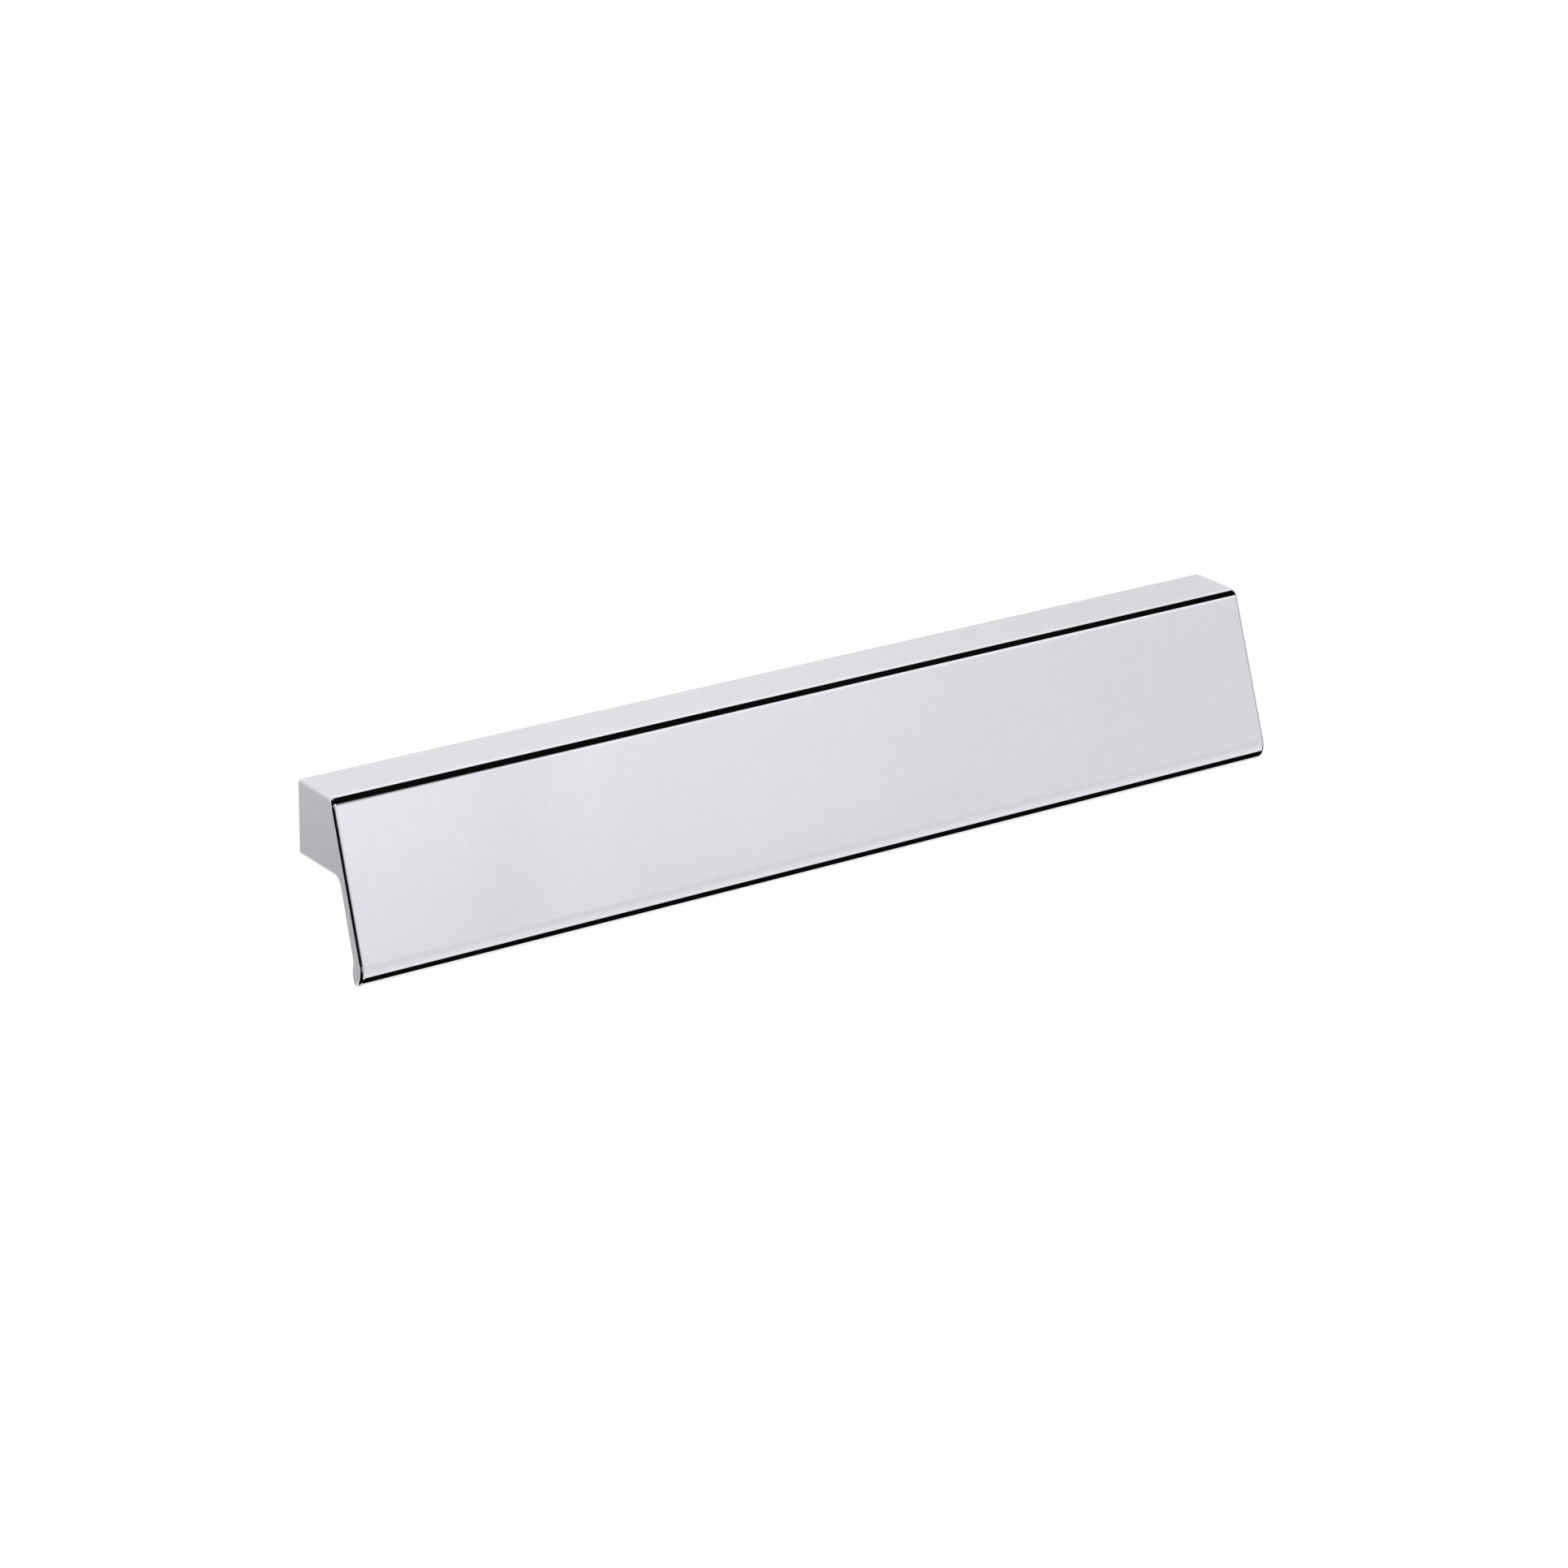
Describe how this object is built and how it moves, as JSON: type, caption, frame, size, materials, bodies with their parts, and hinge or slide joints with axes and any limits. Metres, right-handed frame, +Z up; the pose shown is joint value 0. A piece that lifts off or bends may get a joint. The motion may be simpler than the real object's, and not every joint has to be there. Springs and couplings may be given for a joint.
{
  "type": "cabinet pull",
  "caption": "Polished chrome cabinet pull: a straight rail against the door with a leaning front plate that ends in a rolled lip, held by screws from behind.",
  "frame": {"origin": "midway between the two screw holes, on the face that sits on the door", "axes": "+X along the pull, -Y out of the door towards the hand, +Z up with the rail on top and the lip at the bottom"},
  "size_m": [0.2, 0.0215, 0.0325],
  "materials": {
    "chrome": "polished chrome plate over a zinc casting, left plainer in the cored back"
  },
  "bodies": {
    "root": {"pull_body": "chrome"}
  },
  "joints": []
}
